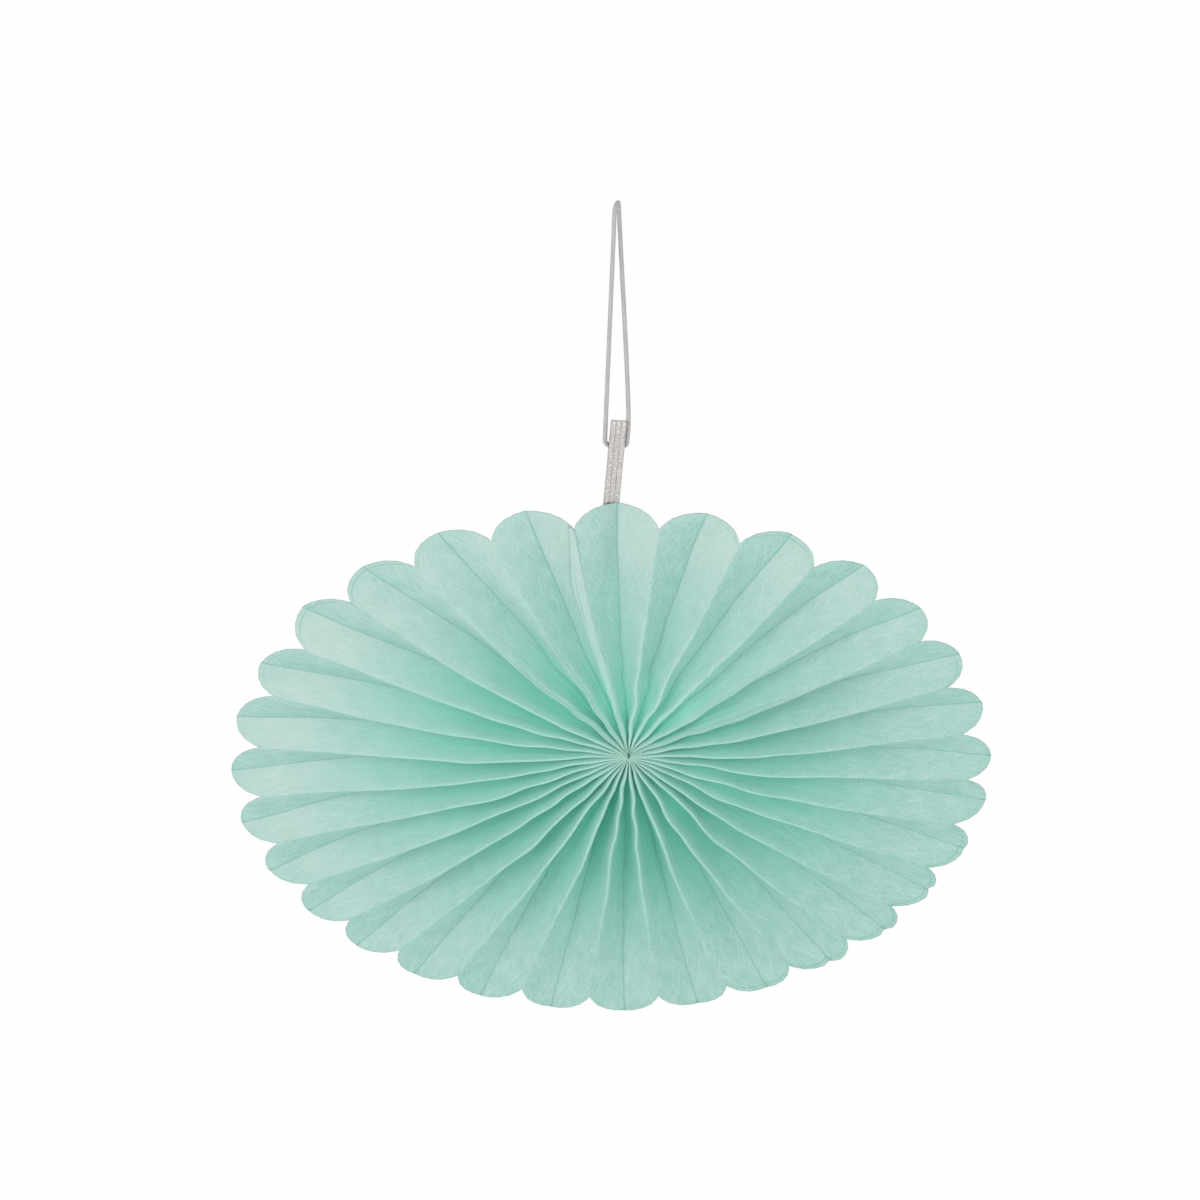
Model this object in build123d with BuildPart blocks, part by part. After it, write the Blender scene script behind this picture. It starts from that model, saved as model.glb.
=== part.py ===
from build123d import *
import os
from math import cos, pi, radians, sin, sqrt, tan

# A round paper fan rosette that hangs from a cord loop. Millimetres, front towards -Y,
# +Z up, origin at the middle of the disc.

# The pleated sheet: a strip of tissue folded ridge and valley in turn, trimmed round along
# one edge and opened into a full disc. A petal is one valley fold with a panel each side.
rosette_diameter = 150.0
petal_count = 30
scallop_depth = 5.3
paper_thickness = 0.1
hub_fold_depth = 8.0
rim_fold_depth = 0.9
fold_flattening = 0.8
hub_slack = 0.4
trim_allowance = 1.0
section_count = 9

# The disc was opened by hand: its hub sits a little right of the middle and above it, and
# the folds stray from an even spacing by so many degrees, given as a constant and the
# cosine and sine of one and of two turns.
hub_shift_right = 3.4
hub_shift_up = 2.7
fold_stray = (-1.29, 1.40, 5.90, 0.68, 1.23)

# The ribbon tab: a narrow ribbon folded double round the cord, glued behind the top petal.
ribbon_width = 3.0
ribbon_thickness = 0.5
tab_height = 23.3
tab_tuck = 18.0
tab_lean = 3.6
tab_seat_gap = 0.3
eye_drop = 8.2
eye_clearance = 0.1
eye_spread = 2.6

# The hanging cord: a loop with both ends held in the ribbon's eye. The route is measured
# from the middle of the eye, and at the top it turns over a thin hook.
cord_diameter = 0.9
cord_bend_radius = 0.9
cord_route = [
    (-0.5, 0.0, 0.03),
    (-2.4, 0.0, 0.15),
    (-0.4, -0.86, 70.9),
    (0.4, 0.86, 70.9),
    (2.8, 0.0, -0.18),
    (0.5, 0.0, -0.03),
]

# Sizes that follow from those above.
tip_radius = rosette_diameter / 2
blank_radius = tip_radius + trim_allowance
fold_count = 2 * petal_count
hub_radius = paper_thickness / tan(pi / petal_count) + hub_slack
notch_radius = tip_radius - scallop_depth


def fold_angle(fold):
    """Angle of a fold, clockwise from the top. Valleys are even and ridges odd."""
    even = pi * fold / petal_count
    stray = fold_stray[0] + fold_stray[1] * cos(even) + fold_stray[2] * sin(even)
    stray += fold_stray[3] * cos(2 * even) + fold_stray[4] * sin(2 * even)
    return even + radians(stray)


def fold_depth(radius):
    """Ridge to valley across the sheet, which flattens as the pleats open to the rim."""
    closed = 1 - (radius / blank_radius) ** 2
    return rim_fold_depth + (hub_fold_depth - rim_fold_depth) * closed**fold_flattening


def axial_wall(half_pitch, depth):
    """The wall along the fan's axis that gives a slanting panel the paper's thickness."""
    slant = half_pitch * sqrt(half_pitch**2 + depth**2 - paper_thickness**2)
    spare = half_pitch**2 - paper_thickness**2
    return paper_thickness * (slant - paper_thickness * depth) / spare


def section_radius(step):
    """Radius of a section, closer together by the hub and by the rim."""
    share = (1 - cos(pi * step / (section_count - 1))) / 2
    return hub_radius + (blank_radius - hub_radius) * share


def fold_line(fold):
    """The sheet's front and back along a fold, section by section from the hub to the rim."""
    angle = fold_angle(fold)
    pitch_angle = (fold_angle(fold + 1) - fold_angle(fold - 1)) / 2
    line = []
    for step in range(section_count):
        radius = section_radius(step)
        depth = fold_depth(radius)
        wall = axial_wall(radius * tan(pitch_angle), depth)
        front = -depth / 2 if fold % 2 else depth / 2 - wall
        inward = (1 - radius / blank_radius) ** 1.5
        across = radius * sin(angle) + hub_shift_right * inward
        height = radius * cos(angle) + hub_shift_up * inward
        line.append(((across, front, height), (across, front + wall, height)))
    return line


def flat_face(*corners):
    """A flat face with these corners."""
    return Face(Wire.make_polygon(corners))


def rim_point(fold, radius):
    """A point of the trimmed outline on a fold, across and up."""
    return (radius * sin(fold_angle(fold)), radius * cos(fold_angle(fold)))


def crease_back(radius):
    """How far behind the fan's middle plane a ribbon lies that is glued to a valley fold."""
    return fold_depth(radius) / 2 + tab_seat_gap


# The sheet's faces. Each panel lies between a valley and a ridge, and turns from upright at
# the hub to nearly flat at the rim in flat facets, as paper bends.
sheet_faces = []
for petal in range(petal_count):
    valley = fold_line(2 * petal)
    for ridge in (fold_line((2 * petal - 1) % fold_count), fold_line(2 * petal + 1)):
        for low, high, next_low, next_high in zip(valley, ridge, valley[1:], ridge[1:]):
            for side in (0, 1):
                sheet_faces.append(flat_face(low[side], high[side], next_high[side]))
                sheet_faces.append(flat_face(low[side], next_high[side], next_low[side]))
        for end in (0, -1):
            sheet_faces.append(flat_face(*valley[end], *reversed(ridge[end])))

with BuildPart() as paper_rosette:
    add(Solid(Shell(sheet_faces)))
    # The round-nosed trim that leaves the scalloped edge, a notch on each ridge.
    with BuildSketch(Plane.XZ.offset(-hub_fold_depth)):
        with BuildLine():
            for valley_fold in range(0, fold_count, 2):
                ThreePointArc(
                    rim_point(valley_fold - 1, notch_radius),
                    rim_point(valley_fold, tip_radius),
                    rim_point(valley_fold + 1, notch_radius),
                )
        make_face()
    extrude(amount=2 * hub_fold_depth, mode=Mode.INTERSECT)

# The ribbon tab, drawn from the side: depth across, height above the top petal's tip up.
tab_plane = Plane(
    origin=(0, 0, tip_radius),
    x_dir=(0, 1, 0),
    z_dir=(cos(radians(tab_lean)), 0, -sin(radians(tab_lean))),
)
tab_front = crease_back(tip_radius)
tab_foot_front = crease_back(tip_radius - tab_tuck)
tab_back = tab_front + 2 * ribbon_thickness
tab_foot_back = tab_foot_front + 2 * ribbon_thickness
fold_centre = tab_height - ribbon_thickness
eye_radius = cord_diameter / 2 + eye_clearance
eye_outer_radius = eye_radius + ribbon_thickness
eye_depth = tab_front + eye_outer_radius
eye_height = tab_height - eye_drop

with BuildPart() as ribbon_tab:
    with BuildSketch(tab_plane):
        with BuildLine():
            Polyline(
                (tab_back, fold_centre),
                (tab_back, 0),
                (tab_foot_back, -tab_tuck),
                (tab_foot_front, -tab_tuck),
                (tab_front, 0),
                (tab_front, fold_centre),
            )
            RadiusArc((tab_front, fold_centre), (tab_back, fold_centre), ribbon_thickness)
        make_face()
    extrude(amount=ribbon_width / 2, both=True)
    # The back ply parts from the front one to go round the cord.
    with BuildSketch(tab_plane):
        with BuildLine():
            CenterArc((eye_depth, eye_height), eye_outer_radius, 0, 360)
            Line((tab_back, eye_height - eye_spread), (tab_back, eye_height + eye_spread))
        make_hull()
    extrude(amount=ribbon_width / 2, both=True)
    with BuildSketch(tab_plane):
        with Locations((eye_depth, eye_height)):
            Circle(eye_radius)
    extrude(amount=ribbon_width / 2, both=True, mode=Mode.SUBTRACT)

# The hanging cord, a plain tube of straight runs and tangent arcs.
eye_centre = tab_plane.from_local_coords((eye_depth, eye_height, 0))
cord_points = [eye_centre + Vector(offset) for offset in cord_route]
cord_radii = [cord_bend_radius] * (len(cord_points) - 2)
with BuildPart() as hanging_cord:
    with BuildLine() as cord_line:
        FilletPolyline(cord_points, radius=cord_radii)
    cord_path = cord_line.wire()
    with BuildSketch(Plane(origin=cord_path @ 0, z_dir=cord_path % 0)):
        Circle(cord_diameter / 2)
    sweep()
print("cord bend radii", cord_radii, "length", round(cord_path.length, 2))

os.makedirs("parts", exist_ok=True)
paper_rosette.part.label = "paper_rosette"
ribbon_tab.part.label = "ribbon_tab"
hanging_cord.part.label = "hanging_cord"
export_step(paper_rosette.part, "parts/paper_rosette.step")
export_step(ribbon_tab.part, "parts/ribbon_tab.step")
export_step(hanging_cord.part, "parts/hanging_cord.step")
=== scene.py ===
from math import cos, pi, radians, sin, sqrt

import bmesh
import bpy
from bpy.props import FloatProperty, IntProperty, PointerProperty, StringProperty
from mathutils import Matrix, Vector, noise


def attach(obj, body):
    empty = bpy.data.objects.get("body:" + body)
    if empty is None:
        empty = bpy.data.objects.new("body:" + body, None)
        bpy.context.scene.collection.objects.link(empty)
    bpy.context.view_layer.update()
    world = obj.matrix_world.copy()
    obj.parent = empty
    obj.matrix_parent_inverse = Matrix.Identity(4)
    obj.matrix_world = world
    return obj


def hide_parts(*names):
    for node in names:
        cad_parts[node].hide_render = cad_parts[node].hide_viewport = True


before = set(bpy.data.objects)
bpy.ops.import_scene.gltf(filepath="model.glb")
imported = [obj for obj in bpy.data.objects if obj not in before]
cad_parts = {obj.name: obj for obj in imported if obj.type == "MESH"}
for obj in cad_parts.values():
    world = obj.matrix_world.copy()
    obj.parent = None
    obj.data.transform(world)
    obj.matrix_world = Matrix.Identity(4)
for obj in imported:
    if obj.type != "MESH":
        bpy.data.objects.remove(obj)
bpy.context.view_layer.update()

bl_info = {
    "name": "Paper fan rosette",
    "version": (1, 0, 0),
    "blender": (4, 5, 0),
    "location": "View3D > Sidebar > Fan rosette",
    "description": "Folds a tissue paper rosette with its ribbon tab and hanging cord",
    "category": "Add Mesh",
}

MM = 0.001

# The uneven spread of the hand-opened pleats round the disc, in degrees: a constant, then
# the cosine and sine of one and of two turns.
PLEAT_SPREAD = (-1.29, 1.40, 5.90, 0.68, 1.23)

# How far the hub lies right of the disc's middle and above it, and the radius at which the
# folds end there, in millimetres.
HUB_RIGHT = 3.4
HUB_UP = 2.7
HUB_RADIUS = 0.25

# How much of a panel the strip's glued end laps over its start.
LAP = 0.42

# Where the columns of a panel lie between its two folds, closer together at the creases.
PANEL_COLUMNS = (0.0, 0.02, 0.06, 0.25, 0.5, 0.75, 0.94, 0.98)

# Round ribs along the ribbon.
RIBS = 3

# The middle of the ribbon's eye, where the cord passes.
EYE_CENTRE = Vector((0.948, 1.992, 90.070)) * MM

# The cord's route from the middle of the ribbon's eye, in millimetres. It keeps to the CAD's
# route, with points beside the hook and beside the eye that hold its two long runs straight.
CORD_ROUTE = (
    (-0.3, 0.0, 0.02),
    (-2.3, 0.0, 0.14),
    (-2.2, -0.04, 3.6),
    (-0.41, -1.03, 67.5),
    (-0.36, -1.05, 69.7),
    (0.36, 1.05, 69.7),
    (0.43, 1.03, 67.5),
    (2.56, 0.1, 8.8),
    (2.12, 0.0, 2.0),
    (2.02, 0.0, -0.12),
    (0.1, 0.0, 0.0),
)

# The point that the camera looks at, and how far it sees, in metres.
AIM = Vector((-2.26, 0, 47.4)) * MM
CAMERA_REACH = 40

# Half the floor's side, in metres.
FLOOR_HALF = 14

# How much of the floor is plain white to the eye, where the rest takes the shadow.
FLOOR_WHITE = 0.95

# Width and place of the lamps, in metres: one high on the left, and a wide soft one in front
# that reaches down into the pleats.
KEY_LAMP = 0.4, (-0.45, -0.43, 0.65)
FRONT_LAMP = 1.6, (0.25, -2.0, 0.25)


def linear(hex_colour):
    """An sRGB hex colour as linear red, green, blue and alpha."""
    channels = [int(hex_colour[at : at + 2], 16) / 255 for at in (1, 3, 5)]
    return (*(c / 12.92 if c <= 0.04045 else ((c + 0.055) / 1.055) ** 2.4 for c in channels), 1.0)


def add_node(tree, kind, inputs=None, **settings):
    """Add a node with its settings, and give each named input a value or a link."""
    node = tree.nodes.new(kind)
    for name, value in settings.items():
        setattr(node, name, value)
    for name, value in (inputs or {}).items():
        if isinstance(value, bpy.types.NodeSocket):
            tree.links.new(value, node.inputs[name])
        else:
            node.inputs[name].default_value = value
    return node


def new_material(name):
    """An empty node material and its tree."""
    material = bpy.data.materials.new(name)
    material.use_nodes = True
    material.node_tree.nodes.clear()
    return material, material.node_tree


def new_piece(name, shape, material):
    """An object at the origin from a finished bmesh."""
    mesh = bpy.data.meshes.new(name)
    shape.to_mesh(mesh)
    shape.free()
    mesh.materials.append(material)
    mesh.polygons.foreach_set("use_smooth", [True] * len(mesh.polygons))
    piece = bpy.data.objects.new(name, mesh)
    bpy.context.collection.objects.link(piece)
    return piece


def smooth_step(low, high, value):
    """0 below low and 1 above high, with a soft change between."""
    share = min(max((value - low) / (high - low), 0.0), 1.0)
    return share * share * (3 - 2 * share)


def window(rise, fall, value):
    """1 between two soft slopes, each given by its two ends, and 0 outside them."""
    return smooth_step(*rise, value) * (1 - smooth_step(*fall, value))


def blend(first, second, share):
    """A value between two others."""
    return first + (second - first) * share


def uneven(number, stride, second, third):
    """A fixed value between -1 and 1 for one petal or fold, read from the noise."""
    return noise.noise((number * stride, second, third))


def seen_share(tree):
    """1 where the eye, a reflection or a see-through surface looks at the background."""
    rays = add_node(tree, "ShaderNodeLightPath").outputs
    seen = rays["Is Camera Ray"]
    for other in ("Is Glossy Ray", "Is Transmission Ray"):
        seen = add_node(
            tree, "ShaderNodeMath", {0: seen, 1: rays[other]}, operation="MAXIMUM"
        ).outputs[0]
    return seen


class RosetteSettings(bpy.types.PropertyGroup):
    """Sizes and colours of the pleated sheet."""

    diameter: FloatProperty(
        name="Diameter", description="Tip to tip across the disc", default=0.150, unit="LENGTH"
    )
    petal_count: IntProperty(
        name="Petals", description="Valley folds round the disc", default=30, min=8
    )
    scallop: FloatProperty(
        name="Scallop", description="Depth of a notch between petals", default=0.0053, unit="LENGTH"
    )
    hub_depth: FloatProperty(
        name="Depth at the hub", description="Ridge to valley at the hub", default=0.008, unit="LENGTH"
    )
    rim_depth: FloatProperty(
        name="Depth at the rim", description="Ridge to valley at the rim", default=0.0009, unit="LENGTH"
    )
    thickness: FloatProperty(
        name="Paper", description="Thickness of the tissue", default=0.0001, unit="LENGTH"
    )
    light_colour: StringProperty(
        name="Pale tissue", description="sRGB hex of the thin cloudy patches", default="#C6E1DC"
    )
    deep_colour: StringProperty(
        name="Deep tissue", description="sRGB hex of the thicker patches", default="#93C9BD"
    )
    # Painted light on the panels that look up and to the left.
    painted_light_colour: StringProperty(
        name="Painted light tissue", description="sRGB hex of the painted light on panels facing the upper left", default="#DAE3E0"
    )
    lap_colour: StringProperty(
        name="Lap", description="sRGB hex of the two glued layers", default="#DCEDE9"
    )
    # Painted shade deep in the pleats, a saturated teal.
    pleat_shade_colour: StringProperty(
        name="Pleat shade", description="sRGB hex of the painted shade deep in the pleats", default="#98E5D6"
    )
    # Pale fold edges at the hub, partly painted light.
    stack_and_light_colour: StringProperty(
        name="Stacked folds", description="sRGB hex of the fold edges at the hub", default="#D3F4EB"
    )
    # Painted shade along a valley crease, and the line of the second ply's edge.
    crease_shade_and_ply_colour: StringProperty(
        name="Crease", description="sRGB hex of the painted shade in a valley fold", default="#86BFB1"
    )
    # Painted highlight along a ridge.
    ridge_highlight_colour: StringProperty(
        name="Ridge", description="sRGB hex of a rubbed ridge fold", default="#C8EAE1"
    )
    edge_colour: StringProperty(
        name="Cut edge", description="sRGB hex of the trimmed edge", default="#A9C9C2"
    )
    see_through: FloatProperty(
        name="See-through",
        description="Share of the light that the tissue lets through",
        default=0.36,
        subtype="FACTOR",
    )


class RibbonSettings(bpy.types.PropertyGroup):
    """Sizes and colours of the ribbon tab."""

    width: FloatProperty(
        name="Width", description="Across the ribbon", default=0.003, unit="LENGTH"
    )
    ply: FloatProperty(
        name="Ply", description="Thickness of one layer", default=0.0005, unit="LENGTH"
    )
    rib_height: FloatProperty(
        name="Rib", description="Height of the lengthwise ribs", default=0.00018, unit="LENGTH"
    )
    lean: FloatProperty(
        name="Lean", description="How far the tab leans to the right", default=radians(3.6), subtype="ANGLE"
    )
    # Painted glints: flakes drawn bright where they would face the light, dull where they face away.
    light_colour: StringProperty(
        name="Bright flakes", description="sRGB hex of flakes that face the light", default="#D8D3D0"
    )
    dark_colour: StringProperty(
        name="Dull flakes", description="sRGB hex of flakes that face away", default="#9E9A96"
    )
    # Painted shade in the grooves between the ribs.
    groove_shade_colour: StringProperty(
        name="Groove", description="sRGB hex between the ribs", default="#8B8784"
    )


class CordSettings(bpy.types.PropertyGroup):
    """Size and colours of the hanging cord."""

    diameter: FloatProperty(
        name="Diameter", description="Across the cord", default=0.0009, unit="LENGTH"
    )
    length: FloatProperty(
        name="Length", description="Along the whole loop", default=0.1464, unit="LENGTH"
    )
    # Painted shade: the cord is drawn darker between its strands.
    light_colour: StringProperty(
        name="Strand", description="sRGB hex of a strand's crown", default="#ACAAA8"
    )
    dark_colour: StringProperty(
        name="Groove", description="sRGB hex between the strands", default="#A4A2A0"
    )


class StageSettings(bpy.types.PropertyGroup):
    """Camera, floor and light levels."""

    elevation: FloatProperty(
        name="Camera height", description="Angle above the horizon", default=radians(47.9), subtype="ANGLE"
    )
    frame_width: FloatProperty(
        name="Frame", description="Width that the picture takes in", default=0.236, unit="LENGTH"
    )
    lens: FloatProperty(
        name="Lens", description="Focal length in millimetres", default=1000.0
    )
    floor_drop: FloatProperty(
        name="Floor", description="How far the floor lies below the hub", default=0.75, unit="LENGTH"
    )
    key_watts: FloatProperty(
        name="Key light", description="Power of the large lamp, upper left", default=1.8, unit="POWER"
    )
    front_watts: FloatProperty(
        name="Front light", description="Power of the wide lamp in front", default=15.0, unit="POWER"
    )
    fill: FloatProperty(
        name="Fill", description="Level of the light from all round", default=0.84
    )
    floor_colour: StringProperty(
        name="Floor colour", description="sRGB hex of the floor under the shadow", default="#F7F7F7"
    )


def tissue_paper(settings):
    """Dyed tissue paper, calendered on one side and hand pleated."""
    # Thin dry paper: matt, slightly see-through to light from behind, cloudy where the pulp lies thicker,
    # streaked with long fibres, and drawn darker along the valley creases as painted shade. Painted light
    # and shade also lie on its panels, pleats and ridges. The sheet's own coordinates are millimetres along
    # the strip and millimetres from the hub.
    material, tree = new_material("dyed_tissue_paper")
    sheet = add_node(tree, "ShaderNodeUVMap", uv_map="sheet_mm").outputs["UV"]
    place = add_node(tree, "ShaderNodeSeparateXYZ", {"Vector": sheet}).outputs
    fold = add_node(tree, "ShaderNodeAttribute", attribute_name="from_valley_mm").outputs["Fac"]
    crown = add_node(tree, "ShaderNodeAttribute", attribute_name="from_ridge_mm").outputs["Fac"]
    trim = add_node(tree, "ShaderNodeAttribute", attribute_name="from_edge_mm").outputs["Fac"]

    # Grains of pulp 0.6 mm across, in clouds of about 4 mm.
    grain = add_node(
        tree, "ShaderNodeTexNoise", {"Vector": sheet, "Scale": 1 / 0.6, "Detail": 2.0, "Roughness": 0.6}
    ).outputs["Fac"]
    cloud = add_node(
        tree, "ShaderNodeTexNoise", {"Vector": sheet, "Scale": 1 / 4.0, "Detail": 2.0}
    ).outputs["Fac"]
    cloud = add_node(
        tree, "ShaderNodeMath", {0: cloud, 1: 0.6, 2: grain}, operation="MULTIPLY_ADD"
    ).outputs[0]
    # Fibres 8 mm long, drawn 0.5 mm wide where real ones are a tenth of that, mostly along
    # the pleats.
    slant, cross = (
        add_node(
            tree,
            "ShaderNodeMapping",
            {"Vector": sheet, "Rotation": (0, 0, radians(turn)), "Scale": (8.0, 0.5, 1)},
            vector_type="TEXTURE",
        ).outputs["Vector"]
        for turn in (72, 112)
    )
    fibres = [
        add_node(
            tree, "ShaderNodeTexNoise", {"Vector": lie, "Scale": 1.0, "Detail": 1.0}
        ).outputs["Fac"]
        for lie in (slant, cross)
    ]
    fibres = add_node(
        tree, "ShaderNodeMath", {0: fibres[0], 1: fibres[1]}, operation="MAXIMUM"
    ).outputs[0]
    pulp = add_node(
        tree, "ShaderNodeMath", {0: fibres, 1: 1.3, 2: cloud}, operation="MULTIPLY_ADD"
    ).outputs[0]
    pale = add_node(
        tree, "ShaderNodeMapRange", {"Value": pulp, "From Min": 1.03, "From Max": 2.03}
    ).outputs["Result"]
    paper = add_node(
        tree,
        "ShaderNodeMixRGB",
        {"Fac": pale, "Color1": linear(settings.deep_colour), "Color2": linear(settings.light_colour)},
    ).outputs["Color"]

    # Painted light: the panels that look up and to the left are drawn paler, as the lamp on the upper left
    # lights them, most near the rim and on the upper left of the disc.
    hung = add_node(tree, "ShaderNodeTexCoord").outputs["Object"]
    light_pool = add_node(
        tree,
        "ShaderNodeMapRange",
        {"Value": place["Y"], "From Min": 50.0, "From Max": 72.0, "To Min": 0.3, "To Max": 0.54},
    ).outputs["Result"]
    upper_left = add_node(
        tree, "ShaderNodeVectorMath", {0: hung, 1: (-0.6, 0.0, 0.8)}, operation="DOT_PRODUCT"
    ).outputs["Value"]
    key_side_light = add_node(
        tree,
        "ShaderNodeMapRange",
        {"Value": upper_left, "From Min": -40 * MM, "From Max": 60 * MM, "To Min": 0.3, "To Max": 1.25},
    ).outputs["Result"]
    light_pool = add_node(tree, "ShaderNodeMath", {0: light_pool, 1: key_side_light}, operation="MULTIPLY").outputs[0]
    facing = add_node(tree, "ShaderNodeNewGeometry").outputs["Normal"]
    towards = add_node(
        tree, "ShaderNodeVectorMath", {0: facing, 1: (-0.45, 0.0, 0.75)}, operation="DOT_PRODUCT"
    ).outputs["Value"]
    painted_light = add_node(
        tree, "ShaderNodeMapRange", {"Value": towards, "From Min": -0.2, "From Max": 0.2, "To Max": light_pool}
    ).outputs["Result"]
    paper = add_node(
        tree, "ShaderNodeMixRGB", {"Fac": painted_light, "Color1": paper, "Color2": linear(settings.painted_light_colour)}
    ).outputs["Color"]

    # The glued lap is two sheets thick and looks paler.
    double = add_node(
        tree, "ShaderNodeMapRange", {"Value": place["X"], "From Min": 0.0, "From Max": -0.3, "To Max": 0.35}
    ).outputs["Result"]
    paper = add_node(
        tree, "ShaderNodeMixRGB", {"Fac": double, "Color1": paper, "Color2": linear(settings.lap_colour)}
    ).outputs["Color"]

    # Painted shade: towards the hub the shade deep in the pleats is drawn as a deeper, more saturated teal,
    # most away from the ridges.
    pleat_shade = add_node(
        tree,
        "ShaderNodeMapRange",
        {"Value": place["Y"], "From Min": 66.0, "From Max": 13.0},
        interpolation_type="SMOOTHSTEP",
    ).outputs["Result"]
    sunk = add_node(
        tree, "ShaderNodeMapRange", {"Value": crown, "From Min": 0.4, "From Max": 4.0, "To Min": 0.5}
    ).outputs["Result"]
    pleat_shade = add_node(
        tree, "ShaderNodeMath", {0: pleat_shade, 1: sunk}, operation="MULTIPLY"
    ).outputs[0]
    # The top pleats are opened wider and get less painted shade, where the light falls from above.
    upper_right = add_node(
        tree, "ShaderNodeVectorMath", {0: hung, 1: (0.35, 0.0, 0.94)}, operation="DOT_PRODUCT"
    ).outputs["Value"]
    opened = add_node(
        tree,
        "ShaderNodeMapRange",
        {"Value": upper_right, "From Min": 5 * MM, "From Max": 34 * MM, "To Min": 1.0, "To Max": 0.45},
        interpolation_type="SMOOTHSTEP",
    ).outputs["Result"]
    pleat_shade = add_node(
        tree, "ShaderNodeMath", {0: pleat_shade, 1: opened}, operation="MULTIPLY"
    ).outputs[0]
    paper = add_node(
        tree, "ShaderNodeMixRGB", {"Fac": pleat_shade, "Color1": paper, "Color2": linear(settings.pleat_shade_colour)}
    ).outputs["Color"]
    # At the hub itself the pale fold edges stand close together, and painted light there also lifts the
    # shade between them.
    stacked_edges_and_light = add_node(
        tree, "ShaderNodeMapRange", {"Value": place["Y"], "From Min": 9.0, "From Max": 2.0, "To Max": 0.6}
    ).outputs["Result"]
    paper = add_node(
        tree, "ShaderNodeMixRGB", {"Fac": stacked_edges_and_light, "Color1": paper, "Color2": linear(settings.stack_and_light_colour)}
    ).outputs["Color"]

    # Painted shade: a valley crease is drawn as a dark line about 0.5 mm wide.
    crease = add_node(
        tree,
        "ShaderNodeMapRange",
        {"Value": fold, "From Min": 0.34, "From Max": 0.06, "To Max": 0.55},
        interpolation_type="SMOOTHSTEP",
    ).outputs["Result"]
    paper = add_node(
        tree, "ShaderNodeMixRGB", {"Fac": crease, "Color1": paper, "Color2": linear(settings.crease_shade_and_ply_colour)}
    ).outputs["Color"]
    # Painted highlight: a ridge is drawn pale over about 0.5 mm, more towards the hub.
    # How strong the painted highlight is, falling off towards the rim.
    pressed = add_node(
        tree,
        "ShaderNodeMapRange",
        {"Value": place["Y"], "From Min": 62.0, "From Max": 20.0, "To Max": 0.62},
    ).outputs["Result"]
    highlit = add_node(
        tree,
        "ShaderNodeMapRange",
        {"Value": crown, "From Min": 0.32, "From Max": 0.05, "To Max": pressed},
        interpolation_type="SMOOTHSTEP",
    ).outputs["Result"]
    paper = add_node(
        tree, "ShaderNodeMixRGB", {"Fac": highlit, "Color1": paper, "Color2": linear(settings.ridge_highlight_colour)}
    ).outputs["Color"]
    # The trimmed edge catches a thin greyish line.
    cut = add_node(
        tree,
        "ShaderNodeMapRange",
        {"Value": trim, "From Min": 0.45, "From Max": 0.1, "To Max": 0.4},
        interpolation_type="SMOOTHSTEP",
    ).outputs["Result"]
    paper = add_node(
        tree, "ShaderNodeMixRGB", {"Fac": cut, "Color1": paper, "Color2": linear(settings.edge_colour)}
    ).outputs["Color"]

    # The edge of the second ply shows through as a faint line 1.1 mm inside the first, here
    # and there round the disc.
    inside = add_node(tree, "ShaderNodeMath", {0: trim, 1: 1.1}, operation="SUBTRACT").outputs[0]
    inside = add_node(tree, "ShaderNodeMath", {0: inside}, operation="ABSOLUTE").outputs[0]
    wander = add_node(
        tree, "ShaderNodeTexNoise", {"Vector": sheet, "Scale": 1 / 30.0, "Detail": 0.0}
    ).outputs["Fac"]
    shown = add_node(
        tree, "ShaderNodeMapRange", {"Value": wander, "From Min": 0.42, "From Max": 0.6, "To Max": 0.45}
    ).outputs["Result"]
    ply = add_node(
        tree,
        "ShaderNodeMapRange",
        {"Value": inside, "From Min": 0.3, "From Max": 0.05, "To Max": shown},
        interpolation_type="SMOOTHSTEP",
    ).outputs["Result"]
    paper = add_node(
        tree, "ShaderNodeMixRGB", {"Fac": ply, "Color1": paper, "Color2": linear(settings.crease_shade_and_ply_colour)}
    ).outputs["Color"]

    # Soft press marks 1.6 mm wide run some 30 mm along the pleats.
    drawn = add_node(
        tree, "ShaderNodeMapping", {"Vector": sheet, "Scale": (1 / 1.6, 1 / 30.0, 1)}
    ).outputs["Vector"]
    marks = add_node(
        tree, "ShaderNodeTexNoise", {"Vector": drawn, "Scale": 1.0, "Detail": 1.0}
    ).outputs["Fac"]
    pressing = add_node(
        tree, "ShaderNodeBump", {"Height": marks, "Strength": 0.22, "Distance": 0.5 * MM}
    ).outputs["Normal"]
    cockle = add_node(
        tree,
        "ShaderNodeBump",
        {"Height": pulp, "Strength": 0.05, "Distance": 0.12 * MM, "Normal": pressing},
    ).outputs["Normal"]
    face = add_node(
        tree,
        "ShaderNodeBsdfPrincipled",
        {
            "Base Color": paper,
            "Roughness": 0.82,
            "IOR": 1.45,
            "Specular IOR Level": 0.05,
            "Normal": cockle,
        },
    ).outputs["BSDF"]
    through = add_node(
        tree, "ShaderNodeBsdfTranslucent", {"Color": paper, "Normal": cockle}
    ).outputs["BSDF"]
    surface = add_node(
        tree, "ShaderNodeMixShader", {"Fac": settings.see_through, 1: face, 2: through}
    ).outputs["Shader"]
    add_node(tree, "ShaderNodeOutputMaterial", {"Surface": surface})
    return material


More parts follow.
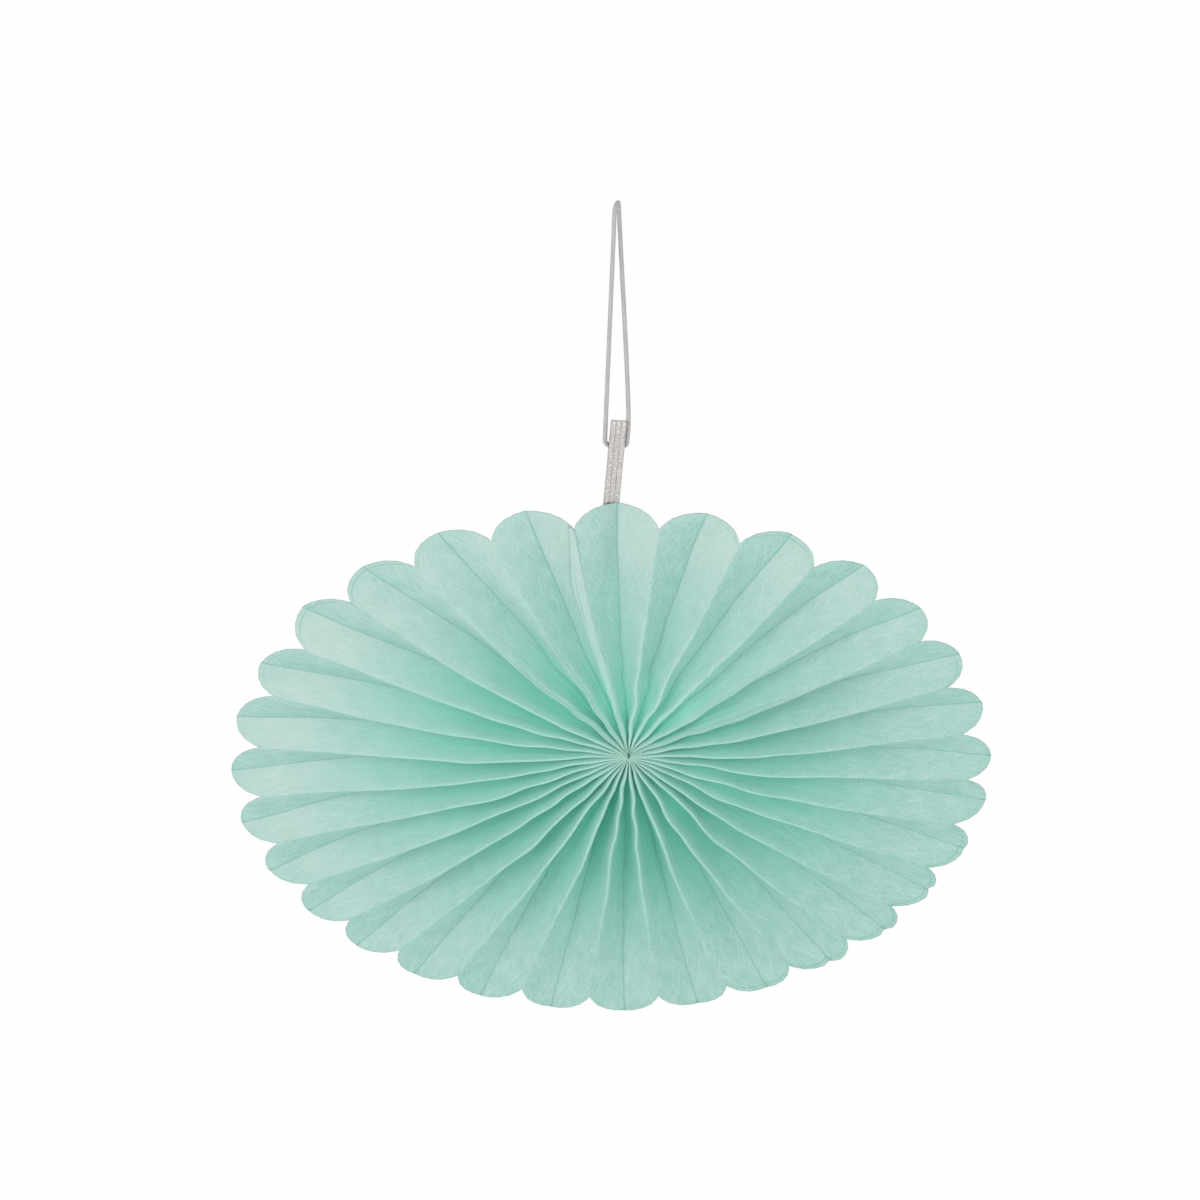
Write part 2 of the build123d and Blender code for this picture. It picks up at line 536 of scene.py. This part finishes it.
def glitter_ribbon(settings):
    """Ribbed polyester ribbon coated with silver glitter."""
    # Tiny mirror flakes at all angles, drawn as painted glints and painted shade: bright and dull specks
    # side by side on a grey ground.
    material, tree = new_material("silver_glitter_ribbon")
    place = add_node(tree, "ShaderNodeTexCoord").outputs["Object"]
    # Flakes about 0.2 mm across, the size of coarse glitter.
    flakes = add_node(
        tree, "ShaderNodeTexVoronoi", {"Vector": place, "Scale": 1 / (0.2 * MM)}
    ).outputs
    shade = add_node(tree, "ShaderNodeSeparateColor", {"Color": flakes["Color"]}).outputs
    silver = add_node(
        tree,
        "ShaderNodeMixRGB",
        {
            "Fac": shade["Red"],
            "Color1": linear(settings.dark_colour),
            "Color2": linear(settings.light_colour),
        },
    ).outputs["Color"]
    # Painted shade: the grooves between the ribs are drawn darker.
    across = add_node(tree, "ShaderNodeAttribute", attribute_name="across").outputs["Fac"]
    ribs = add_node(
        tree, "ShaderNodeMath", {0: across, 1: RIBS * pi}, operation="MULTIPLY"
    ).outputs[0]
    ribs = add_node(tree, "ShaderNodeMath", {0: ribs}, operation="SINE").outputs[0]
    ribs = add_node(tree, "ShaderNodeMath", {0: ribs}, operation="ABSOLUTE").outputs[0]
    groove = add_node(
        tree, "ShaderNodeMapRange", {"Value": ribs, "From Max": 0.7, "To Min": 0.6, "To Max": 0.0}
    ).outputs["Result"]
    silver = add_node(
        tree,
        "ShaderNodeMixRGB",
        {"Fac": groove, "Color1": silver, "Color2": linear(settings.groove_shade_colour)},
    ).outputs["Color"]
    rough = add_node(
        tree, "ShaderNodeMapRange", {"Value": shade["Green"], "To Min": 0.25, "To Max": 0.6}
    ).outputs["Result"]
    tilt = add_node(
        tree, "ShaderNodeBump", {"Height": shade["Blue"], "Strength": 0.4, "Distance": 0.05 * MM}
    ).outputs["Normal"]
    surface = add_node(
        tree,
        "ShaderNodeBsdfPrincipled",
        {"Base Color": silver, "Metallic": 0.35, "Roughness": rough, "Normal": tilt},
    ).outputs["BSDF"]
    add_node(tree, "ShaderNodeOutputMaterial", {"Surface": surface})
    return material


def twisted_cord(settings):
    """Waxed grey cotton cord of two twisted strands."""
    # Soft matt strands with a fine slanting groove between them, drawn darker there as painted shade, and a
    # trace of fuzz.
    material, tree = new_material("twisted_cotton_cord")
    along = add_node(tree, "ShaderNodeTexCoord").outputs["UV"]
    # One turn of the twist in 3 mm of cord.
    turns = add_node(
        tree, "ShaderNodeMapping", {"Vector": along, "Scale": (settings.length / (3 * MM), 2.0, 1.0)}
    ).outputs["Vector"]
    strands = add_node(
        tree,
        "ShaderNodeTexWave",
        {"Vector": turns, "Scale": 0.5, "Distortion": 0.4},
        bands_direction="DIAGONAL",
    ).outputs["Fac"]
    cotton = add_node(
        tree,
        "ShaderNodeMixRGB",
        {"Fac": strands, "Color1": linear(settings.dark_colour), "Color2": linear(settings.light_colour)},
    ).outputs["Color"]
    groove = add_node(
        tree, "ShaderNodeBump", {"Height": strands, "Strength": 0.2, "Distance": 0.05 * MM}
    ).outputs["Normal"]
    surface = add_node(
        tree,
        "ShaderNodeBsdfPrincipled",
        {"Base Color": cotton, "Roughness": 0.75, "Sheen Weight": 0.2, "Normal": groove},
    ).outputs["BSDF"]
    add_node(tree, "ShaderNodeOutputMaterial", {"Surface": surface})
    return material


class FAN_OT_set_stage(bpy.types.Operator):
    """Set the camera, the pale floor and the soft studio light"""

    bl_idname = "fan.set_stage"
    bl_label = "Set stage"

    def execute(self, context):
        settings = context.scene.fan_stage
        scene = context.scene
        scene.view_settings.view_transform = "Standard"

        # The camera looks down at the hanging disc, which makes its round outline an oval.
        back = Vector((0, -cos(settings.elevation), sin(settings.elevation)))
        data = bpy.data.cameras.new("camera")
        data.lens = settings.lens
        distance = settings.frame_width * settings.lens / data.sensor_width
        camera = bpy.data.objects.new("camera", data)
        camera.location = AIM + back * distance
        camera.rotation_euler = (-back).to_track_quat("-Z", "Y").to_euler()
        data.clip_end = CAMERA_REACH
        context.collection.objects.link(camera)
        scene.camera = camera

        shape = bmesh.new()
        bmesh.ops.create_grid(shape, x_segments=1, y_segments=1, size=FLOOR_HALF)
        bmesh.ops.translate(shape, verts=shape.verts, vec=(0, 0, -settings.floor_drop))
        # Plain white paper: matt, and nearly shadowless to the eye.
        material, tree = new_material("white_paper_floor")
        share = add_node(
            tree, "ShaderNodeMath", {0: seen_share(tree), 1: FLOOR_WHITE}, operation="MULTIPLY"
        ).outputs[0]
        matt = add_node(
            tree, "ShaderNodeBsdfDiffuse", {"Color": linear(settings.floor_colour)}
        ).outputs["BSDF"]
        white = add_node(tree, "ShaderNodeEmission", {"Strength": 1.0}).outputs["Emission"]
        surface = add_node(tree, "ShaderNodeMixShader", {"Fac": share, 1: matt, 2: white}).outputs["Shader"]
        add_node(tree, "ShaderNodeOutputMaterial", {"Surface": surface})
        new_piece("floor", shape, material)

        # White to the eye all round, and a plain fill light for everything else.
        world = bpy.data.worlds.new("white_studio")
        world.use_nodes = True
        tree = world.node_tree
        tree.nodes.clear()
        level = add_node(
            tree,
            "ShaderNodeMapRange",
            {"Value": seen_share(tree), "To Min": settings.fill, "To Max": 1.0},
        ).outputs["Result"]
        light = add_node(
            tree, "ShaderNodeBackground", {"Strength": level, "Color": (1, 1, 1, 1)}
        ).outputs["Background"]
        add_node(tree, "ShaderNodeOutputWorld", {"Surface": light})
        scene.world = world

        for name, watts, (size, place) in (
            ("key_lamp", settings.key_watts, KEY_LAMP),
            ("front_lamp", settings.front_watts, FRONT_LAMP),
        ):
            data = bpy.data.lights.new(name, "AREA")
            data.shape = "DISK"
            data.size = size
            data.energy = watts
            lamp = bpy.data.objects.new(name, data)
            lamp.location = place
            lamp.rotation_euler = (-lamp.location).to_track_quat("-Z", "Y").to_euler()
            context.collection.objects.link(lamp)
        return {"FINISHED"}


class FAN_OT_hang_cord(bpy.types.Operator):
    """Hang the cord loop from the ribbon's eye"""

    bl_idname = "fan.hang_cord"
    bl_label = "Hang cord"

    def execute(self, context):
        settings = context.scene.fan_cord
        curve = bpy.data.curves.new("hanging_cord_loop", "CURVE")
        curve.dimensions = "3D"
        curve.bevel_depth = settings.diameter / 2
        curve.bevel_resolution = 5
        curve.resolution_u = 10
        curve.use_fill_caps = True
        spline = curve.splines.new("NURBS")
        route = [EYE_CENTRE + Vector(point) * MM for point in CORD_ROUTE]
        spline.points.add(len(route) - 1)
        for point, place in zip(spline.points, route):
            point.co = (*place, 1)
        spline.order_u = 3
        spline.use_endpoint_u = True
        curve.materials.append(twisted_cord(settings))
        cord = bpy.data.objects.new("hanging_cord_loop", curve)
        context.collection.objects.link(cord)
        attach(cord, "root")
        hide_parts("hanging_cord")
        return {"FINISHED"}


class FAN_OT_fold_ribbon(bpy.types.Operator):
    """Fold the glitter ribbon double round the cord"""

    bl_idname = "fan.fold_ribbon"
    bl_label = "Fold ribbon"

    # Columns across the ribbon.
    COLUMNS = 24

    # How round the ribs are: 1 is a sine's arch, and less is fuller.
    RIB_FULLNESS = 0.7

    # The share of a ply that is solid under its ribs.
    SOLID_SHARE = 0.8

    # The ribbon's way from its front foot over the top fold and down behind the cord, in
    # millimetres: depth behind the disc's middle plane and height above the top petal's tip.
    WAY = (
        (2.0, -18.0), (2.0, -12.0), (1.66, -6.0), (1.2, -0.6), (1.15, 4.0), (1.15, 10.0),
        (1.15, 16.0), (1.15, 22.2), (1.2, 22.82), (1.385, 23.05), (1.57, 22.82), (1.62, 22.2),
        (1.62, 18.4), (1.9, 17.1), (2.5, 16.0), (2.79, 15.1), (2.5, 14.2), (1.9, 13.1),
        (1.62, 11.8), (1.62, 7.5), (1.62, 3.5), (1.68, -0.6), (2.14, -6.0), (2.5, -12.0), (2.5, -18.0),
    )

    def execute(self, context):
        settings = context.scene.fan_ribbon
        rows = len(self.WAY) - 1
        shape = bmesh.new()
        # The flat ribbon: one grid, with a row for each point of its way.
        bmesh.ops.create_grid(shape, x_segments=self.COLUMNS, y_segments=rows, size=0.5)
        across = shape.verts.layers.float.new("across")
        for vert in shape.verts:
            share = round((vert.co.x + 0.5) * self.COLUMNS) / self.COLUMNS
            depth, height = self.WAY[round((vert.co.y + 0.5) * rows)]
            vert[across] = share
            vert.co = ((share - 0.5) * settings.width, depth * MM, height * MM)
        bmesh.ops.recalc_face_normals(shape, faces=shape.faces)
        shape.normal_update()
        for vert in shape.verts:
            rib = abs(sin(RIBS * pi * vert[across])) ** self.RIB_FULLNESS
            vert.co += vert.normal * settings.rib_height * rib
        # The tab leans about the top petal's tip.
        lean = Matrix.Rotation(settings.lean, 3, "Y")
        tip = context.scene.fan_rosette.diameter / 2
        bmesh.ops.rotate(shape, verts=shape.verts, cent=(0, 0, 0), matrix=lean)
        bmesh.ops.translate(shape, verts=shape.verts, vec=(0, 0, tip))
        tab = new_piece("silver_ribbon_tab", shape, glitter_ribbon(settings))
        wall = tab.modifiers.new("ply", "SOLIDIFY")
        wall.thickness = settings.ply * self.SOLID_SHARE
        wall.offset = 0
        bend = tab.modifiers.new("bend", "SUBSURF")
        bend.levels = bend.render_levels = 1
        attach(tab, "root")
        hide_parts("ribbon_tab")
        return {"FINISHED"}


class FAN_OT_fold_rosette(bpy.types.Operator):
    """Pleat the strip of tissue and open it into a full disc"""

    bl_idname = "fan.fold_rosette"
    bl_label = "Fold rosette"

    # Rows of the strip from the hub to the trimmed edge.
    ROWS = 52

    # The lap narrows by one share near the rim and is cut short by another. It lies in front
    # of the panel under it by so many millimetres, and further at its free edge.
    LAP_NARROWS = 0.7
    LAP_SHORT = 0.05
    LAP_FRONT, LAP_LIFT = 0.15, 0.8

    # How full a petal's round nose is: at 1 it would be a half circle.
    NOSE_FULLNESS = 0.93

    # Faults of the hand-cut rim in millimetres: petals of uneven reach, steps between the two
    # halves of a petal where the cut is neat and where it is rough, petals that reach further,
    # and dents at the tips.
    REACH_FAULT = 0.5
    STEP_NEAT, STEP_ROUGH = 0.5, 1.4
    FAR_REACH = 0.9
    DENT = 0.75

    # Where those faults begin and where they end, in radians clockwise from the top petal.
    ROUGH_SIDE = (0.9, 1.6), (2.5, 2.9)
    FAR_SIDE = (0.1, 0.4), (0.9, 1.3)
    DENTED_SIDE = (1.75, 2.05), (2.5, 2.8)

    # How far past the tips the pleats would be quite flat, in millimetres.
    FREE_RIM = 1

    # How fast the pleats flatten towards the rim, the share of their depth that they lose at
    # the top, with the angle where they lose most, and the share that is left at the hub.
    FLATTENING = 1.15
    TOP_OPENED, TOP_ANGLE = 0.55, 0.25
    HUB_PRESSED = 0.42

    # A petal's curl towards the front, how much it varies from one to the next, how long the
    # part is that curls, and the lean of the top petal back on to the ribbon, in millimetres.
    CURL, CURL_FAULT = 0.3, 1.3
    CURL_LENGTH = 16
    TOP_LEAN = -0.25

    # The ridges are round folds, which bow out to each side by up to this many millimetres.
    RIDGE_BOW = 0.3

    # The most that a fold sways sideways and lifts, in millimetres.
    SWAY, LIFT = 1.0, 0.7

    # Where the unevenness is read in the noise: a stride from one petal to the next and two
    # fixed places.
    STEP_NOISE = (3.7, 0.3, 8.1)
    REACH_NOISE = (2.9, 5.3, 0.7)
    CURL_NOISE = (1.9, 7.7, 3.1)

    def execute(self, context):
        settings = context.scene.fan_rosette
        panels = 2 * settings.petal_count
        columns = len(PANEL_COLUMNS)
        strip_columns = (panels + 1) * columns
        # A panel stands upright at the hub, so it is as wide as the pleats are deep there.
        panel_width = settings.hub_depth / MM
        shape = bmesh.new()
        # The flat strip: one grid, as long as all the panels and the glued lap.
        bmesh.ops.create_grid(shape, x_segments=strip_columns, y_segments=self.ROWS, size=1)
        valley = shape.verts.layers.float.new("from_valley_mm")
        ridge = shape.verts.layers.float.new("from_ridge_mm")
        edge = shape.verts.layers.float.new("from_edge_mm")
        places = {}
        for vert in shape.verts:
            column = round((vert.co.x + 1) / 2 * strip_columns)
            share = (vert.co.y + 1) / 2
            panel = column // columns - 1
            part = PANEL_COLUMNS[column % columns]
            pleat = panel + part
            if panel < 0:
                pleat = LAP * (part - 1) * (1 - self.LAP_NARROWS * smooth_step(0.7, 1.0, share))
            place, radius, end = self.fold(settings, pleat, share)
            vert.co = place
            off_valley = abs((pleat % 2) - 1)
            vert[valley] = off_valley * panel_width
            vert[ridge] = (1 - off_valley) * panel_width
            vert[edge] = min(end, part * LAP * panel_width) if pleat < 0 else end
            places[vert] = (pleat * panel_width, radius)
        sheet = shape.loops.layers.uv.new("sheet_mm")
        for face in shape.faces:
            for loop in face.loops:
                loop[sheet].uv = places[loop.vert]
        shape.normal_update()
        if sum(face.normal.y for face in shape.faces) > 0:
            bmesh.ops.reverse_faces(shape, faces=shape.faces)
        rosette = new_piece("tissue_rosette", shape, tissue_paper(settings))
        wall = rosette.modifiers.new("paper", "SOLIDIFY")
        wall.thickness = settings.thickness
        wall.offset = 0
        # The thin cut edge does not turn the shading of the panels beside it.
        flat = rosette.modifiers.new("flat_rim", "WEIGHTED_NORMAL")
        flat.mode = "FACE_AREA"
        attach(rosette, "root")
        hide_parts("paper_rosette")
        return {"FINISHED"}

    def fold(self, settings, pleat, share):
        """Where a point of the strip lies on the opened disc, its radius and its distance
        from the trimmed edge in millimetres. Ridges are even pleats, valleys odd ones, and
        the top petal's valley is pleat 1."""
        tip = settings.diameter / 2 / MM
        half_angle = pi / settings.petal_count
        petal = int(pleat // 2) if pleat < 2 * settings.petal_count else settings.petal_count - 1
        kind = petal % settings.petal_count
        off_valley = abs((pleat % 2) - 1)
        off_ridge = 1 - off_valley
        left = (pleat % 2) < 1
        end = self.trim(settings, petal, off_valley, left)
        if pleat < 0:
            end *= 1 - self.LAP_SHORT * smooth_step(0.0, LAP, -pleat)
        radius = HUB_RADIUS + (end - HUB_RADIUS) * share

        # The pleats flatten as they open towards the rim. They are opened wider at the top
        # and pressed flatter at the hub.
        outermost = tip + self.FREE_RIM
        closed = max(1 - (radius / outermost) ** 2, 0.0)
        depth = blend(settings.rim_depth, settings.hub_depth, closed**self.FLATTENING) / MM
        upper = smooth_step(0.6, 0.97, cos(2 * petal * half_angle - self.TOP_ANGLE))
        depth *= 1 - self.TOP_OPENED * upper * (1 - smooth_step(25, 60, radius))
        depth *= blend(self.HUB_PRESSED, 1.0, smooth_step(3, 34, radius))
        # Towards the rim the panels bulge a little.
        opened = smooth_step(0.3, 0.92, radius / tip)
        rise = blend(off_valley, sin(off_valley * pi / 2), 0.2 * opened)
        front = depth * (rise - 0.5)

        # Unevenness of each fold, the same for both panels that share it.
        low = int(pleat // 1)
        here, beyond = (self.waver(fold, radius, settings) for fold in (low, low + 1))
        sway, lift = (blend(first, second, pleat - low) for first, second in zip(here, beyond))
        front += lift
        # A petal curls most along its middle and less beside its notches.
        curl = self.CURL + self.CURL_FAULT * uneven(kind, *self.CURL_NOISE) if kind else self.TOP_LEAN
        front += curl * smooth_step(tip - self.CURL_LENGTH, tip, radius) * (1 - 0.6 * off_valley)
        if pleat < 0:
            front += self.LAP_FRONT + self.LAP_LIFT * smooth_step(0, LAP, -pleat)

        angle = (pleat - 1) * half_angle
        angle += self.spread(angle)
        bow = window((0.0, 0.06), (0.06, 0.6), off_ridge)
        bow *= min(self.RIDGE_BOW, 0.4 * radius * half_angle) * closed
        sway += bow if left else -bow
        angle += sway / max(radius, 1.0)
        # The shift of the hub fades out towards the rim.
        away = max(1 - radius / outermost, 0.0) ** 1.5
        right = radius * sin(angle) + HUB_RIGHT * away
        up = radius * cos(angle) + HUB_UP * away
        return Vector((right, -front, up)) * MM, radius, end - radius

    def trim(self, settings, petal, off_valley, left):
        """How far the round-nosed, hand-cut edge lies from the hub, in millimetres."""
        nominal = 2 * petal * pi / settings.petal_count
        kind = petal % settings.petal_count
        nose = 1 - sqrt(1 - self.NOSE_FULLNESS * off_valley * off_valley)
        nose /= 1 - sqrt(1 - self.NOSE_FULLNESS)
        reach = settings.diameter / 2 / MM + self.REACH_FAULT * uneven(kind, *self.REACH_NOISE)
        reach += self.FAR_REACH * window(*self.FAR_SIDE, nominal)
        step = uneven(kind, *self.STEP_NOISE)
        step *= blend(self.STEP_NEAT, self.STEP_ROUGH, window(*self.ROUGH_SIDE, nominal))
        step *= 0.5 * smooth_step(0.0, 0.06, off_valley) * (1 - off_valley)
        reach += step if left else -step
        dented = window(*self.DENTED_SIDE, nominal) * (1 - smooth_step(0.0, 0.3, off_valley))
        reach -= self.DENT * dented
        # Petals that are opened wider have deeper notches.
        wide = self.spread(nominal + 0.1) - self.spread(nominal - 0.1)
        return reach - settings.scallop / MM * nose * (1 + 2.0 * wide)

    def spread(self, angle):
        """How far the hand-opened pleats stray from an even spacing, in radians."""
        base, cos_one, sin_one, cos_two, sin_two = PLEAT_SPREAD
        stray = base + cos_one * cos(angle) + sin_one * sin(angle)
        return radians(stray + cos_two * cos(2 * angle) + sin_two * sin(2 * angle))

    def waver(self, fold, radius, settings):
        """Sideways sway and lift of one fold at a radius, in millimetres."""
        fold = fold % (2 * settings.petal_count)
        pitch = radius * pi / settings.petal_count
        sway = uneven(fold, 5.1, 1.2 * sqrt(radius), 2.2) * min(self.SWAY, 0.6 * pitch)
        lift = uneven(fold, 4.3, radius / 26, 9.4) * min(self.LIFT, 0.06 * radius)
        return sway * (1 - 0.85 * smooth_step(18, 50, radius)), lift


class FAN_PT_rosette(bpy.types.Panel):
    """Fan rosette"""

    bl_label = "Fan rosette"
    bl_idname = "FAN_PT_rosette"
    bl_space_type = "VIEW_3D"
    bl_region_type = "UI"
    bl_category = "Fan rosette"

    def draw(self, context):
        scene = context.scene
        for group, operator in (
            (scene.fan_stage, FAN_OT_set_stage),
            (scene.fan_ribbon, FAN_OT_fold_ribbon),
            (scene.fan_cord, FAN_OT_hang_cord),
            (scene.fan_rosette, FAN_OT_fold_rosette),
        ):
            box = self.layout.box()
            for name in group.bl_rna.properties.keys():
                if name not in ("rna_type", "name"):
                    box.prop(group, name)
            box.operator(operator.bl_idname)


CLASSES = (
    RosetteSettings,
    RibbonSettings,
    CordSettings,
    StageSettings,
    FAN_OT_set_stage,
    FAN_OT_fold_ribbon,
    FAN_OT_hang_cord,
    FAN_OT_fold_rosette,
    FAN_PT_rosette,
)


def register():
    """Register the classes and hang their settings on the scene."""
    for item in CLASSES:
        bpy.utils.register_class(item)
    bpy.types.Scene.fan_rosette = PointerProperty(type=RosetteSettings)
    bpy.types.Scene.fan_ribbon = PointerProperty(type=RibbonSettings)
    bpy.types.Scene.fan_cord = PointerProperty(type=CordSettings)
    bpy.types.Scene.fan_stage = PointerProperty(type=StageSettings)


def unregister():
    """Take the settings and the classes away again."""
    del bpy.types.Scene.fan_rosette
    del bpy.types.Scene.fan_ribbon
    del bpy.types.Scene.fan_cord
    del bpy.types.Scene.fan_stage
    for item in reversed(CLASSES):
        bpy.utils.unregister_class(item)


def main():
    """Make the stage and every piece."""
    register()
    bpy.ops.fan.set_stage()
    bpy.ops.fan.fold_ribbon()
    bpy.ops.fan.hang_cord()
    bpy.ops.fan.fold_rosette()


if __name__ == "__main__":
    main()
